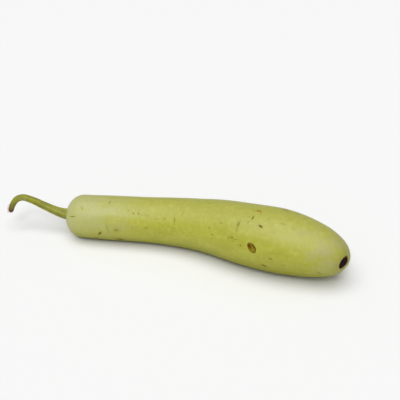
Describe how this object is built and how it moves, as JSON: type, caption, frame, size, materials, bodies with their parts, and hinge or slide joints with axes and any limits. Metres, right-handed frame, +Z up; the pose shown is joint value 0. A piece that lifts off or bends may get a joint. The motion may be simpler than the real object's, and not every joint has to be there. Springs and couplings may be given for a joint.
{
  "type": "bottle gourd",
  "caption": "Long pale green bottle gourd lying on its side: a bent, club-shaped fruit with a blunt neck, a hooked ribbed stalk and a dark dried flower button.",
  "frame": {"origin": "centre of the gourd's outline in plan, at the height of the surface that it lies on", "axes": "+X from the stalk end to the blossom end, +Z up, -Y the side that the neck and the tip bend towards"},
  "size_m": [0.3942, 0.0768, 0.0704],
  "materials": {
    "gourd_skin": "smooth pale yellow-green fruit skin with a thin wax bloom, satin",
    "green_stalk": "fibrous ribbed green stalk, satin, dried brown at the cut",
    "dried_flower": "dried dark brown plant tissue, rough"
  },
  "bodies": {
    "root": {"fruit": "gourd_skin", "stem": "green_stalk", "blossom_scar": "dried_flower"}
  },
  "joints": []
}
